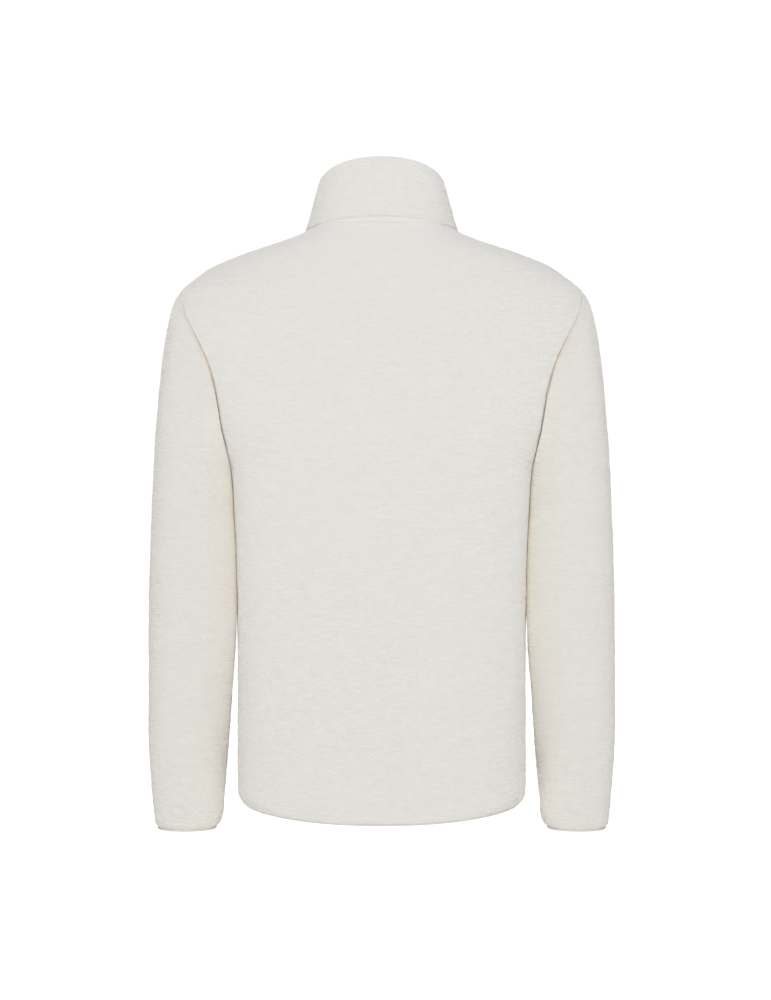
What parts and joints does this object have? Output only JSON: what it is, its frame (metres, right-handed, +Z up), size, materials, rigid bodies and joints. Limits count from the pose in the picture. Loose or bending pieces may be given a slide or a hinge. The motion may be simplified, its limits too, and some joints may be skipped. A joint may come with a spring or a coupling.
{
  "type": "sherpa jacket",
  "caption": "Off-white sherpa fleece jacket with a stand collar, set-in sleeves, bound hem and cuffs and a full-length front zip, hollow as it is worn",
  "frame": {"origin": "middle of the neck opening, level with the points where the shoulder seams meet the collar", "axes": "+Z up, towards the collar; +X towards the wearer's left sleeve; +Y out of the back, so the zip faces -Y"},
  "size_m": [0.5492, 0.2526, 0.7788],
  "materials": {
    "back": "fleece with a soft pile",
    "front_left": "fleece with a soft pile",
    "front_right": "fleece with a soft pile",
    "sleeve_left": "fleece with a soft pile",
    "sleeve_right": "fleece with a soft pile",
    "collar": "fleece with a soft pile",
    "neck_strip": "fleece with a soft pile",
    "hem_binding": "plain folded binding",
    "cuff_binding_left": "plain folded binding",
    "cuff_binding_right": "plain folded binding",
    "zip_tape_left": "smooth narrow woven tape",
    "zip_tape_right": "smooth narrow woven tape",
    "zip_box": "satin silver",
    "zip_slider": "satin silver",
    "zip_pull_tab": "satin silver"
  },
  "bodies": {
    "jacket": {"back": "back", "front_left": "front_left", "front_right": "front_right", "sleeve_left": "sleeve_left", "sleeve_right": "sleeve_right", "collar": "collar", "neck_strip": "neck_strip", "hem_binding": "hem_binding", "cuff_binding_left": "cuff_binding_left", "cuff_binding_right": "cuff_binding_right", "zip_tape_left": "zip_tape_left", "zip_tape_right": "zip_tape_right", "zip_box": "zip_box", "zip_slider": "zip_slider"},
    "zip_pull": {"zip_pull_tab": "zip_pull_tab"}
  },
  "joints": [
    {"name": "zip_pull_swing", "type": "hinge", "parent": "jacket", "child": "zip_pull", "pos_m": [0, -0.07775, 0.0072], "axis": [-1, 0, 0], "range_deg": [0, 165]}
  ]
}
